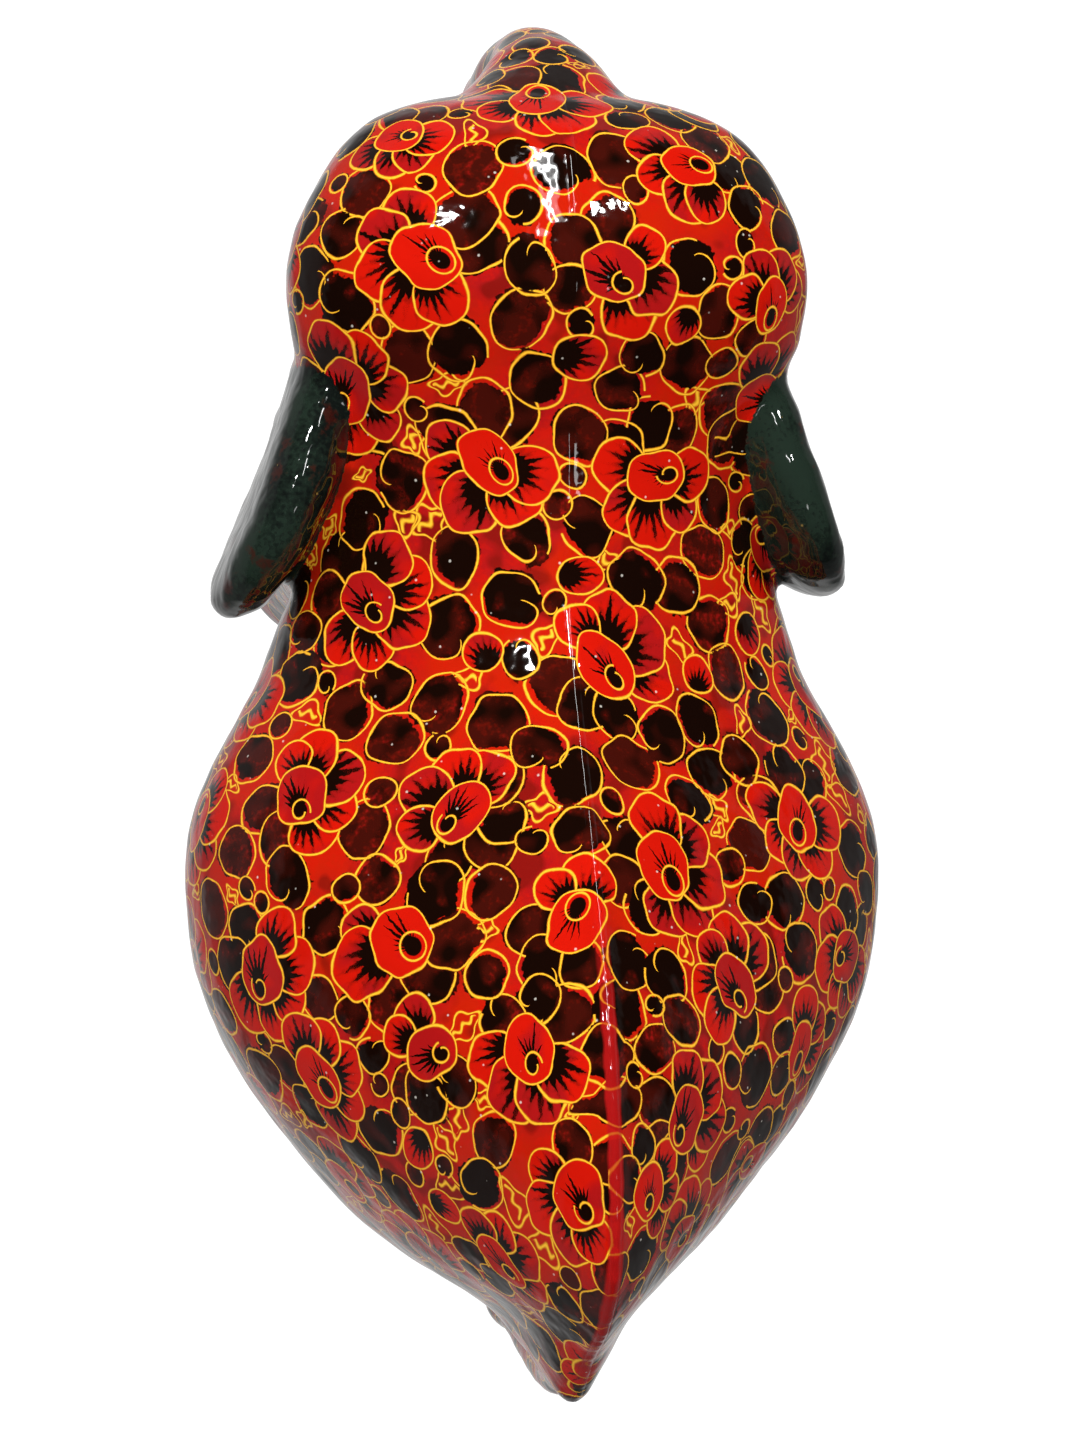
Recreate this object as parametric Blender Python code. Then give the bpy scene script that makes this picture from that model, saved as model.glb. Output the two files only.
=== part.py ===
"""A papier-mache elephant, moulded hollow and closed as one body.

Metres, +Z up. The elephant faces -Y, its left side is +X, and its soles stand on Z = 0.
Every form is a loft: rings of points set along a line, closed at both ends. The body, trunk,
lip, ears, legs and tail overlap in one mesh, which is then fused into a single skin, smoothed
as the paper is smoothed, and cut level at the soles. Shares in the tables are of the length,
width or height named beside them.
"""

import math

import bpy
import numpy as np
from mathutils import Matrix

# Sizes that the shares are taken from, and how far the figure is moved to centre it
LENGTH = 0.144
WIDTH = 0.074
HEIGHT = 0.098
MOVED_BACK = 0.0023

# Skin: the grid that fuses the forms, how much it is smoothed, and the share of faces kept
SKIN_GRID = 0.0011
SKIN_SMOOTHING = 8
FACES_KEPT = 0.105

# Head: a broad dome that ends in a blunt brow
BROW_FRONT = -0.4525 * LENGTH
BROW_START = -0.312 * LENGTH
BROW_LEVEL = 0.604 * HEIGHT
BROW_BLUNTNESS = 2.85

# Rump: the flanks run together behind into a steep keel
KEEL_END = 0.490 * LENGTH
KEEL_LEVEL = 0.740 * HEIGHT

# Legs: round columns on flat soles. The thighs are deeper than the legs by these shares, and
# lie further back than them by these shares of LENGTH.
LEG_RADIUS = 0.0095
FOOT_RADIUS = 0.0107
LEG_SPREAD = 0.0155
FRONT_LEG_Y = -0.138 * LENGTH
HIND_LEG_Y = 0.220 * LENGTH
FRONT_THIGH_DEPTH = 0.34
HIND_THIGH_DEPTH = 0.65
FRONT_THIGH_BACK = -0.008
HIND_THIGH_BACK = 0.004
LEG_TOP = 0.54 * HEIGHT
BELOW_SOLE = 0.004

# Ears: thick flaps that stand off the neck. EAR_OUT is how far the middle of an ear lies from
# the middle plane, and the shares of WIDTH below it shape the flap from there: how much it
# flares and curls outwards behind, how much it leans and curls inwards below, and how much it
# twists. The ear on the -X side lies closer to the neck and is shorter behind.
EAR_THICKNESS = 0.0080
EAR_REACH = 0.0156
EAR_HEIGHT = 0.0190
EAR_Y = -0.181 * LENGTH
EAR_LEVEL = 0.528 * HEIGHT
EAR_OUT = 0.341 * WIDTH
EAR_FLARE = 0.082
EAR_CURL_BEHIND = 0.021
EAR_LEAN = 0.012
EAR_CURL_BELOW = 0.006
EAR_TWIST = 0.014
EAR_LOBE = 0.09
CLOSER_EAR = 0.017
SHORTER_EAR = 0.06

# Trunk and tail. The trunk leans towards -X, from a share of LENGTH on and over a share of it.
TRUNK_ROOT_RADIUS = 0.0165
TRUNK_TIP_RADIUS = 0.0042
TRUNK_LEAN = 0.0008
LEAN_FROM = -0.38
LEAN_OVER = 0.08
TAIL_ROOT_RADIUS = 0.0042
TAIL_END_RADIUS = 0.0022

# Points around each kind of ring
BODY_POINTS = 72
LIMB_POINTS = 40
EAR_POINTS = 56

# Body stations, front to back: place along LENGTH from the middle, half width as a share of
# WIDTH, then as shares of HEIGHT the widest level, the top and the underside, and last the
# ridge: 1 is a round back and 2 a roof.
BODY_STATIONS = (
    (-0.450, 0.346, 0.650, 0.800, 0.420, 1.10),
    (-0.400, 0.343, 0.652, 0.818, 0.412, 1.12),
    (-0.312, 0.368, 0.655, 0.830, 0.405, 1.20),
    (-0.270, 0.358, 0.640, 0.816, 0.400, 1.22),
    (-0.235, 0.326, 0.615, 0.792, 0.392, 1.22),
    (-0.195, 0.306, 0.585, 0.774, 0.372, 1.22),
    (-0.140, 0.322, 0.555, 0.765, 0.350, 1.27),
    (-0.100, 0.345, 0.540, 0.766, 0.341, 1.38),
    (-0.069, 0.368, 0.530, 0.773, 0.335, 1.52),
    (-0.033, 0.392, 0.522, 0.789, 0.330, 1.66),
    (0.004, 0.433, 0.520, 0.815, 0.327, 1.76),
    (0.042, 0.471, 0.518, 0.847, 0.325, 1.84),
    (0.078, 0.495, 0.516, 0.879, 0.325, 1.89),
    (0.116, 0.504, 0.514, 0.909, 0.325, 1.92),
    (0.153, 0.499, 0.514, 0.937, 0.327, 1.94),
    (0.190, 0.486, 0.514, 0.961, 0.330, 1.94),
    (0.227, 0.460, 0.513, 0.981, 0.334, 1.93),
    (0.264, 0.421, 0.509, 0.995, 0.339, 1.91),
    (0.301, 0.371, 0.504, 1.002, 0.346, 1.89),
    (0.338, 0.311, 0.498, 1.002, 0.356, 1.87),
    (0.375, 0.244, 0.495, 0.989, 0.373, 1.84),
    (0.401, 0.176, 0.510, 0.960, 0.395, 1.78),
    (0.418, 0.117, 0.565, 0.926, 0.430, 1.74),
    (0.433, 0.080, 0.634, 0.885, 0.486, 1.66),
    (0.448, 0.062, 0.676, 0.840, 0.556, 1.50),
    (0.465, 0.040, 0.712, 0.800, 0.640, 1.30),
    (0.480, 0.022, 0.736, 0.768, 0.704, 1.15),
)

# Trunk stations: along LENGTH and up HEIGHT for the centre line, then the radius as a share
# of the way from the tip's radius to the root's.
TRUNK_STATIONS = (
    (-0.275, 0.630, 1.00),
    (-0.365, 0.622, 0.75),
    (-0.425, 0.590, 0.55),
    (-0.463, 0.558, 0.21),
    (-0.481, 0.510, 0.05),
    (-0.477, 0.420, 0.09),
    (-0.467, 0.300, 0.08),
    (-0.460, 0.210, 0.05),
    (-0.462, 0.138, 0.02),
    (-0.474, 0.088, 0.00),
)

# Tail stations: along LENGTH and up HEIGHT for the centre line, then the radius as a share
# of the way from the end's radius to the root's.
TAIL_STATIONS = (
    (0.436, 0.750, 0.40),
    (0.466, 0.710, 0.10),
    (0.474, 0.640, 0.06),
    (0.468, 0.530, 0.06),
    (0.456, 0.415, 0.12),
    (0.449, 0.350, 0.42),
    (0.445, 0.290, 0.10),
)

# Lip stations: along LENGTH, up HEIGHT, and the radius as a share of WIDTH.
LIP_STATIONS = (
    (-0.270, 0.480, 0.140),
    (-0.325, 0.440, 0.115),
    (-0.367, 0.400, 0.070),
    (-0.382, 0.380, 0.045),
)


def through(stations, places):
    """Smooth curves through the stations that never overshoot them, read at places."""
    table = np.array(stations)
    x, rows = table[:, 0], table[:, 1:]
    rise = np.diff(rows, axis=0) / np.diff(x)[:, None]
    before, after = rise[:-1], rise[1:]
    both = before * after
    mean = np.where(both > 0, 2 * both / np.where(both > 0, before + after, 1), 0)
    slopes = np.concatenate([rise[:1], mean, rise[-1:]])
    left = np.clip(np.searchsorted(x, places) - 1, 0, len(x) - 2)
    width = (x[left + 1] - x[left])[:, None]
    t = (places - x[left])[:, None] / width
    return (
        (2 * t**3 - 3 * t**2 + 1) * rows[left]
        + (t**3 - 2 * t**2 + t) * width * slopes[left]
        + (3 * t**2 - 2 * t**3) * rows[left + 1]
        + (t**3 - t**2) * width * slopes[left + 1]
    )


def spread_evenly(stations, count):
    """Rows read along the stations by their running number, evenly spaced."""
    numbered = np.column_stack([np.arange(len(stations)), stations])
    return through(numbered, np.linspace(0, len(stations) - 1, count))


def soft_step(share):
    share = np.clip(share, 0, 1)
    return share * share * (3 - 2 * share)


def loft(rings, first, last):
    """Points and faces of one closed form: rings of equal count and a pole at each end."""
    count, around = rings.shape[:2]
    points = np.concatenate([rings.reshape(-1, 3), [first], [last]])
    step = np.arange(around)
    following = (step + 1) % around
    faces = []
    for row in range(count - 1):
        low, high = row * around, (row + 1) * around
        faces += np.stack([low + step, low + following, high + following, high + step], 1).tolist()
    front, back = count * around, count * around + 1
    end = (count - 1) * around
    faces += np.stack([following, step, np.full(around, front)], 1).tolist()
    faces += np.stack([end + step, end + following, np.full(around, back)], 1).tolist()
    return points, faces


def body_form():
    """The head, neck, back, belly and rump in one loft along Y."""
    turn = np.linspace(0, 1, 15)[1:-1] * math.pi / 2
    front = BROW_START - (BROW_START - BROW_FRONT) * np.sin(turn[::-1])
    middle = np.linspace(BROW_START, BODY_STATIONS[-1][0] * LENGTH, 80)
    y = np.concatenate([front, middle])
    half, level, top, under, ridge = through(BODY_STATIONS, y / LENGTH).T
    half, level, top, under = half * WIDTH, level * HEIGHT, top * HEIGHT, under * HEIGHT

    into_brow = np.clip((BROW_START - y) / (BROW_START - BROW_FRONT), 0, 1)
    shrink = (1 - into_brow**BROW_BLUNTNESS) ** (1 / BROW_BLUNTNESS)
    level = BROW_LEVEL + (level - BROW_LEVEL) * shrink
    top = BROW_LEVEL + (top - BROW_LEVEL) * shrink
    under = BROW_LEVEL + (under - BROW_LEVEL) * shrink
    half = half * shrink

    angle = np.arange(BODY_POINTS) / BODY_POINTS * 2 * math.pi
    across, up = np.cos(angle), np.sin(angle)
    power = 1 + (ridge[:, None] - 1) * soft_step(up * 1.25)
    x = half[:, None] * np.sign(across) * np.abs(across) ** power
    above, below = (top - level)[:, None], (level - under)[:, None]
    z = level[:, None] + up * (below + (above - below) * soft_step((up + 1) / 2))
    rings = np.stack([x, np.broadcast_to(y[:, None], x.shape), z], 2)[:, ::-1]
    return loft(rings, (0, BROW_FRONT, BROW_LEVEL), (0, KEEL_END, KEEL_LEVEL))


def tube(centres, radii, end_reach):
    """A tapered tube along centres, its rings square to the path, with rounded ends."""
    along = np.gradient(centres, axis=0)
    along /= np.linalg.norm(along, axis=1)[:, None]
    side = np.array([1.0, 0, 0]) - along * along[:, :1]
    side /= np.linalg.norm(side, axis=1)[:, None]
    over = np.cross(side, along)
    angle = np.arange(LIMB_POINTS) / LIMB_POINTS * 2 * math.pi
    circle = (
        side[:, None] * np.cos(angle)[None, :, None] + over[:, None] * np.sin(angle)[None, :, None]
    )
    rings = centres[:, None] + radii[:, None, None] * circle
    rounding = np.array([0.4, 0.7, 0.9])
    thin = np.sqrt(1 - rounding**2)[:, None, None]
    start_reach = along[0] * radii[0] * end_reach
    last_reach = along[-1] * radii[-1] * end_reach
    start = centres[0] - start_reach * rounding[:, None, None] + thin * (rings[0] - centres[0])
    end = centres[-1] + last_reach * rounding[:, None, None] + thin * (rings[-1] - centres[-1])
    rings = np.concatenate([start[::-1], rings, end])
    return loft(rings, centres[0] - start_reach, centres[-1] + last_reach)


def trunk_form():
    rows = spread_evenly(TRUNK_STATIONS, 44)
    lean = -TRUNK_LEAN * soft_step((LEAN_FROM - rows[:, 0]) / LEAN_OVER)
    centres = np.stack([lean, rows[:, 0] * LENGTH, rows[:, 1] * HEIGHT], 1)
    radii = TRUNK_TIP_RADIUS + (TRUNK_ROOT_RADIUS - TRUNK_TIP_RADIUS) * rows[:, 2]
    return tube(centres, radii, 0.5)


def tail_form():
    rows = spread_evenly(TAIL_STATIONS, 40)
    centres = np.stack([rows[:, 0] * 0, rows[:, 0] * LENGTH, rows[:, 1] * HEIGHT], 1)
    radii = TAIL_END_RADIUS + (TAIL_ROOT_RADIUS - TAIL_END_RADIUS) * rows[:, 2]
    return tube(centres, radii, 0.9)


def lip_form():
    """The lower lip, a short tapered form under the trunk's root."""
    rows = spread_evenly(LIP_STATIONS, 16)
    centres = np.stack([rows[:, 0] * 0, rows[:, 0] * LENGTH, rows[:, 1] * HEIGHT], 1)
    return tube(centres, rows[:, 2] * WIDTH, 0.9)


def leg_form(side, y, depth, lean):
    """A column from inside the body to below the sole, wider and deeper at the thigh."""
    z = np.linspace(-BELOW_SOLE, LEG_TOP, 34)
    share = np.clip(z / LEG_TOP, 0, 1)
    swell = soft_step((share - 0.15) / 0.85) ** 1.2
    radius = LEG_RADIUS + (FOOT_RADIUS - LEG_RADIUS) * np.exp(-((share / 0.16) ** 2))
    round_over = np.sqrt(1 - soft_step((share - 0.80) / 0.20) * 0.45)
    wide = radius * (1 + 0.22 * swell) * round_over
    deep = radius * (1 + depth * swell) * round_over
    centre_y = y + lean * swell * LENGTH
    centre_x = side * (LEG_SPREAD - 0.012 * WIDTH * swell)
    angle = np.arange(LIMB_POINTS) / LIMB_POINTS * 2 * math.pi
    x = centre_x[:, None] + wide[:, None] * np.cos(angle)
    ys = centre_y[:, None] + deep[:, None] * np.sin(angle)
    rings = np.stack([x, ys, np.broadcast_to(z[:, None], x.shape)], 2)
    return loft(
        rings,
        (centre_x[0], centre_y[0], -BELOW_SOLE),
        (centre_x[-1], centre_y[-1], LEG_TOP + 0.4 * LEG_RADIUS),
    )


def ear_span(side):
    """Where the middle of the ear on one side lies along Y, and how far it reaches from there.

    Both ears start at the same place in front, and the one on the -X side is the shorter.
    """
    reach = EAR_REACH * (1 - SHORTER_EAR * (side < 0))
    return EAR_Y + reach - EAR_REACH, reach


def ear_middle(y, z, side):
    """How far from the middle plane the ear's own middle surface lies at a place."""
    middle_y, reach = ear_span(side)
    back = (y - middle_y) / reach
    down = (EAR_LEVEL - z) / EAR_HEIGHT
    closer = CLOSER_EAR * (side < 0)
    flare = (EAR_FLARE - closer / 2) * back + EAR_CURL_BEHIND * back**2
    tuck = EAR_TWIST * back * down - EAR_LEAN * down - EAR_CURL_BELOW * down**2
    return EAR_OUT + WIDTH * (flare + tuck - closer)


def ear_form(side):
    """A blunt-edged flap of three rounded lobes, flared outwards behind."""
    angle = np.arange(EAR_POINTS) / EAR_POINTS * 2 * math.pi
    lobes = 1 + EAR_LOBE * np.cos(3 * (angle - math.radians(38)))
    out = np.array([0.15, 0.30, 0.45, 0.60, 0.72, 0.82, 0.90, 0.955, 0.99])
    bulge = (1 - out**6) ** 0.5
    spread = np.concatenate([out, [1.0], out[::-1]])[:, None] * lobes
    puff = np.concatenate([-bulge, [0.0], bulge[::-1]]) * EAR_THICKNESS / 2
    middle_y, reach = ear_span(side)
    y = middle_y + reach * spread * np.cos(angle)
    z = EAR_LEVEL + EAR_HEIGHT * spread * np.sin(angle)
    x = ear_middle(y, z, side) + puff[:, None]
    rings = np.stack([side * x, y, z], 2)[:, ::side]
    middle = ear_middle(middle_y, EAR_LEVEL, side)
    inner, outer = middle - EAR_THICKNESS / 2, middle + EAR_THICKNESS / 2
    return loft(rings, (side * inner, middle_y, EAR_LEVEL), (side * outer, middle_y, EAR_LEVEL))


def lacquered_red():
    material = bpy.data.materials.new("painted_lacquer")
    material.use_nodes = True
    shader = material.node_tree.nodes["Principled BSDF"]
    shader.inputs["Base Color"].default_value = (0.42, 0.03, 0.02, 1)
    shader.inputs["Roughness"].default_value = 0.12
    shader.inputs["Metallic"].default_value = 0.0
    return material


def as_object(name, forms):
    """One mesh object that holds every form, each still closed on its own."""
    points, faces, count = [], [], 0
    for form_points, form_faces in forms:
        points += form_points.tolist()
        faces += [[corner + count for corner in face] for face in form_faces]
        count += len(form_points)
    mesh = bpy.data.meshes.new(name)
    mesh.from_pydata(points, [], faces)
    thing = bpy.data.objects.new(name, mesh)
    bpy.context.scene.collection.objects.link(thing)
    return thing


def ground_block():
    """The block that cuts the legs off level at Z = 0."""
    reach, depth = LENGTH, 4 * BELOW_SOLE
    corners = [(x, y, z) for x in (-reach, reach) for y in (-reach, reach) for z in (-depth, 0)]
    faces = [(0, 1, 3, 2), (4, 6, 7, 5), (0, 4, 5, 1), (2, 3, 7, 6), (0, 2, 6, 4), (1, 5, 7, 3)]
    block = as_object("ground_block", [(np.array(corners), faces)])
    block.hide_render = True
    block.display_type = "WIRE"
    return block


def main():
    for thing in list(bpy.data.objects):
        bpy.data.objects.remove(thing)
    forms = [body_form(), trunk_form(), lip_form(), tail_form()]
    for side in (1, -1):
        forms.append(leg_form(side, FRONT_LEG_Y, FRONT_THIGH_DEPTH, FRONT_THIGH_BACK))
        forms.append(leg_form(side, HIND_LEG_Y, HIND_THIGH_DEPTH, HIND_THIGH_BACK))
        forms.append(ear_form(side))
    elephant = as_object("elephant", forms)
    elephant.data.transform(Matrix.Translation((0, MOVED_BACK, 0)))
    elephant.data.materials.append(lacquered_red())
    fuse = elephant.modifiers.new("fuse_the_forms", "REMESH")
    fuse.mode = "VOXEL"
    fuse.voxel_size = SKIN_GRID
    smooth = elephant.modifiers.new("smooth_the_skin", "SMOOTH")
    smooth.factor = 0.5
    smooth.iterations = SKIN_SMOOTHING
    thin_out = elephant.modifiers.new("keep_fewer_faces", "DECIMATE")
    thin_out.ratio = FACES_KEPT
    level = elephant.modifiers.new("cut_the_soles_level", "BOOLEAN")
    level.operation = "DIFFERENCE"
    level.solver = "EXACT"
    level.object = ground_block()
    elephant.data.shade_smooth()


main()
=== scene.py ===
"""A papier-mache elephant, painted by hand with red flowers and gold lines under clear lacquer.

The elephant faces -Y with its left side at +X and its soles on Z = 0, all in metres. Its skin is
lofted form by form, fused, smoothed, cut level at the soles and given the unevenness of paper.
The painting is colour only. Each mark of the brush (a dab, a petal, the cup of a flower, a
scribble of gold) has a place and a direction on the skin. The corners of the faces that it
touches carry their distance from its middle in millimetres, and the material draws the mark
from that distance.
"""

import math
from functools import partialmethod

import bmesh
import bpy
import numpy as np
from mathutils import Matrix, Vector
from mathutils.bvhtree import BVHTree


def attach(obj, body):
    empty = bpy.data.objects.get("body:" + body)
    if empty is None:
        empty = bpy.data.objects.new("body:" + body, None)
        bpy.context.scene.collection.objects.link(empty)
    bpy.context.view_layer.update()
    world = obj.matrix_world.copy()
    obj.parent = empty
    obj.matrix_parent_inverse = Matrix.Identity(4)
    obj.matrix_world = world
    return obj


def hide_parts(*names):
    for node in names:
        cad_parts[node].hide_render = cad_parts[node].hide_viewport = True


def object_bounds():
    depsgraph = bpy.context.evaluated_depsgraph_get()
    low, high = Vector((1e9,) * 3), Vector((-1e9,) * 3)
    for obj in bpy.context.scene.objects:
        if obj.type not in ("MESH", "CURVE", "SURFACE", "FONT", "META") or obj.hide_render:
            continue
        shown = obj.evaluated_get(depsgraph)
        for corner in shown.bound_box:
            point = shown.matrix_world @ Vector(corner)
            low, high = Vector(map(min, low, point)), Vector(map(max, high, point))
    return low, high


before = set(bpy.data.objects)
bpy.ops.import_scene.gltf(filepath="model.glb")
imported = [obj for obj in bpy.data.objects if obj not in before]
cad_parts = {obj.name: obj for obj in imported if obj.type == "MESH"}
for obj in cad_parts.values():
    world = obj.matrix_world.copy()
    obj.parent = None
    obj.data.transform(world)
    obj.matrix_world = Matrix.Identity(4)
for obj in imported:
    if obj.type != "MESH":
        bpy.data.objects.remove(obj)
cad_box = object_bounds()

MM = 0.001

# Sizes that the shares are taken from, and how far the figure is moved to centre it
LENGTH = 0.144
WIDTH = 0.074
HEIGHT = 0.098
MOVED_BACK = 0.0023

# Skin: the grid that fuses the forms, and how long it is smoothed
SKIN_GRID = 0.00072
SKIN_SMOOTHING = 17

# Head: a broad dome that ends in a blunt brow
BROW_FRONT = -0.4525 * LENGTH
BROW_START = -0.312 * LENGTH
BROW_LEVEL = 0.604 * HEIGHT
BROW_BLUNTNESS = 2.85

# Rump: the flanks run together behind into a steep keel
KEEL_END = 0.490 * LENGTH
KEEL_LEVEL = 0.740 * HEIGHT

# Legs: round columns on flat soles. The thighs are deeper than the legs by these shares, and
# lie further back than them by these shares of LENGTH.
LEG_RADIUS = 0.0095
FOOT_RADIUS = 0.0107
LEG_SPREAD = 0.0155
FRONT_LEG_Y = -0.138 * LENGTH
HIND_LEG_Y = 0.220 * LENGTH
FRONT_THIGH_DEPTH = 0.34
HIND_THIGH_DEPTH = 0.65
FRONT_THIGH_BACK = -0.008
HIND_THIGH_BACK = 0.004
LEG_TOP = 0.54 * HEIGHT
BELOW_SOLE = 0.004

# Shares of a leg's height: where the thigh starts, where the leg's rounded top starts, and how
# far up the foot's flare is felt. The rounding takes a share off the square of the radius.
# The thigh is wider than the leg by a share, and stands further in by a share of WIDTH.
THIGH_START = 0.15
LEG_ROUNDING_START = 0.80
FOOT_FADE = 0.16
LEG_ROUNDING = 0.45
THIGH_WIDTH = 0.22
THIGH_INWARD = 0.012

# Ears: thick flaps that stand off the neck. EAR_OUT is how far the middle of an ear lies from
# the middle plane, and the shares of WIDTH below it shape the flap from there: how much it
# flares and curls outwards behind, how much it leans and curls inwards below, and how much it
# twists. The lobes add a share to the outline, from a first one turned by an angle. The ear
# on the -X side lies closer to the neck and is shorter behind.
EAR_THICKNESS = 0.0080
EAR_REACH = 0.0156
EAR_HEIGHT = 0.0190
EAR_Y = -0.181 * LENGTH
EAR_LEVEL = 0.528 * HEIGHT
EAR_OUT = 0.341 * WIDTH
EAR_FLARE = 0.082
EAR_CURL_BEHIND = 0.021
EAR_LEAN = 0.012
EAR_CURL_BELOW = 0.006
EAR_TWIST = 0.014
EAR_LOBE = 0.09
EAR_LOBE_TURN = math.radians(38)
EAR_BLUNTNESS = 6
CLOSER_EAR = 0.017
SHORTER_EAR = 0.06

# Trunk and tail. The trunk leans towards -X, from a share of LENGTH on and over a share of it.
TRUNK_ROOT_RADIUS = 0.0165
TRUNK_TIP_RADIUS = 0.0042
TRUNK_LEAN = 0.0008
LEAN_FROM = -0.38
LEAN_OVER = 0.08
TAIL_ROOT_RADIUS = 0.0042
TAIL_END_RADIUS = 0.0022

# Unevenness of the skin and of the ears: the height and the length of its waves in
# millimetres, and the seed of their directions
SKIN_WAVES = ((0.10, 13, 5), (0.035, 4.5, 6))
EAR_WAVES = ((0.09, 6.5, 7), (0.035, 2.6, 8))

# The seam that stands up along the back and, lower, over the head, in millimetres: its
# height, half its width, and the level that it stays above. Each stretch along Y is where the
# seam starts, how long it takes to rise, where it ends and how long it takes to fall.
BACK_SEAM_HEIGHT = 0.42
HEAD_SEAM_HEIGHT = 0.15
SEAM_HALF_WIDTH = 0.95
SEAM_LEVEL = 68
BACK_SEAM = (-18, 30, 67, 8)
HEAD_SEAM = (-64, 6, -34, 10)
SEAM_UNEVENNESS = 0.25
SEAM_WAVE_LENGTH = 7
SEAM_SEED = 9

# Points around each kind of ring
BODY_POINTS = 120
LIMB_POINTS = 64
EAR_POINTS = 96

# Body stations, front to back: place along LENGTH from the middle, half width as a share of
# WIDTH, then as shares of HEIGHT the widest level, the top and the underside, and last the
# ridge: 1 is a round back and 2 a roof.
BODY_STATIONS = (
    (-0.450, 0.346, 0.650, 0.800, 0.420, 1.10),
    (-0.400, 0.343, 0.652, 0.818, 0.412, 1.12),
    (-0.312, 0.368, 0.655, 0.830, 0.405, 1.20),
    (-0.270, 0.358, 0.640, 0.816, 0.400, 1.22),
    (-0.235, 0.326, 0.615, 0.792, 0.392, 1.22),
    (-0.195, 0.306, 0.585, 0.774, 0.372, 1.22),
    (-0.140, 0.322, 0.555, 0.765, 0.350, 1.27),
    (-0.100, 0.345, 0.540, 0.766, 0.341, 1.38),
    (-0.069, 0.368, 0.530, 0.773, 0.335, 1.52),
    (-0.033, 0.392, 0.522, 0.789, 0.330, 1.66),
    (0.004, 0.433, 0.520, 0.815, 0.327, 1.76),
    (0.042, 0.471, 0.518, 0.847, 0.325, 1.84),
    (0.078, 0.495, 0.516, 0.879, 0.325, 1.89),
    (0.116, 0.504, 0.514, 0.909, 0.325, 1.92),
    (0.153, 0.499, 0.514, 0.937, 0.327, 1.94),
    (0.190, 0.486, 0.514, 0.961, 0.330, 1.94),
    (0.227, 0.460, 0.513, 0.981, 0.334, 1.93),
    (0.264, 0.421, 0.509, 0.995, 0.339, 1.91),
    (0.301, 0.371, 0.504, 1.002, 0.346, 1.89),
    (0.338, 0.311, 0.498, 1.002, 0.356, 1.87),
    (0.375, 0.244, 0.495, 0.989, 0.373, 1.84),
    (0.401, 0.176, 0.510, 0.960, 0.395, 1.78),
    (0.418, 0.117, 0.565, 0.926, 0.430, 1.74),
    (0.433, 0.080, 0.634, 0.885, 0.486, 1.66),
    (0.448, 0.062, 0.676, 0.840, 0.556, 1.50),
    (0.465, 0.040, 0.712, 0.800, 0.640, 1.30),
    (0.480, 0.022, 0.736, 0.768, 0.704, 1.15),
)

# Trunk stations: along LENGTH and up HEIGHT for the centre line, then the radius as a share
# of the way from the tip's radius to the root's.
TRUNK_STATIONS = (
    (-0.275, 0.630, 1.00),
    (-0.365, 0.622, 0.75),
    (-0.425, 0.590, 0.55),
    (-0.463, 0.558, 0.21),
    (-0.481, 0.510, 0.05),
    (-0.477, 0.420, 0.09),
    (-0.467, 0.300, 0.08),
    (-0.460, 0.210, 0.05),
    (-0.462, 0.138, 0.02),
    (-0.474, 0.088, 0.00),
)

# Tail stations: along LENGTH and up HEIGHT for the centre line, then the radius as a share
# of the way from the end's radius to the root's.
TAIL_STATIONS = (
    (0.436, 0.750, 0.40),
    (0.466, 0.710, 0.10),
    (0.474, 0.640, 0.06),
    (0.468, 0.530, 0.06),
    (0.456, 0.415, 0.12),
    (0.449, 0.350, 0.42),
    (0.445, 0.290, 0.10),
)

# Lip stations: along LENGTH, up HEIGHT, and the radius as a share of WIDTH.
LIP_STATIONS = (
    (-0.270, 0.480, 0.140),
    (-0.325, 0.440, 0.115),
    (-0.367, 0.400, 0.070),
    (-0.382, 0.380, 0.045),
)


# The skin


def through(stations, places):
    """Smooth curves through the stations that never overshoot them, read at places."""
    table = np.array(stations)
    x, rows = table[:, 0], table[:, 1:]
    rise = np.diff(rows, axis=0) / np.diff(x)[:, None]
    before, after = rise[:-1], rise[1:]
    both = before * after
    mean = np.where(both > 0, 2 * both / np.where(both > 0, before + after, 1), 0)
    slopes = np.concatenate([rise[:1], mean, rise[-1:]])
    left = np.clip(np.searchsorted(x, places) - 1, 0, len(x) - 2)
    width = (x[left + 1] - x[left])[:, None]
    t = (places - x[left])[:, None] / width
    return (
        (2 * t**3 - 3 * t**2 + 1) * rows[left]
        + (t**3 - 2 * t**2 + t) * width * slopes[left]
        + (3 * t**2 - 2 * t**3) * rows[left + 1]
        + (t**3 - t**2) * width * slopes[left + 1]
    )


def spread_evenly(stations, count):
    """Rows read along the stations by their running number, evenly spaced."""
    numbered = np.column_stack([np.arange(len(stations)), stations])
    return through(numbered, np.linspace(0, len(stations) - 1, count))


def soft_step(share):
    """0 up to 0, 1 from 1 on, and a smooth rise between them."""
    share = np.clip(share, 0, 1)
    return share * share * (3 - 2 * share)


def loft(rings, first, last):
    """Points and faces of one closed form: rings of equal count and a pole at each end."""
    count, around = rings.shape[:2]
    points = np.concatenate([rings.reshape(-1, 3), [first], [last]])
    step = np.arange(around)
    following = (step + 1) % around
    faces = []
    for row in range(count - 1):
        low, high = row * around, (row + 1) * around
        faces += np.stack([low + step, low + following, high + following, high + step], 1).tolist()
    front, back = count * around, count * around + 1
    end = (count - 1) * around
    faces += np.stack([following, step, np.full(around, front)], 1).tolist()
    faces += np.stack([end + step, end + following, np.full(around, back)], 1).tolist()
    return points, faces


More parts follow.
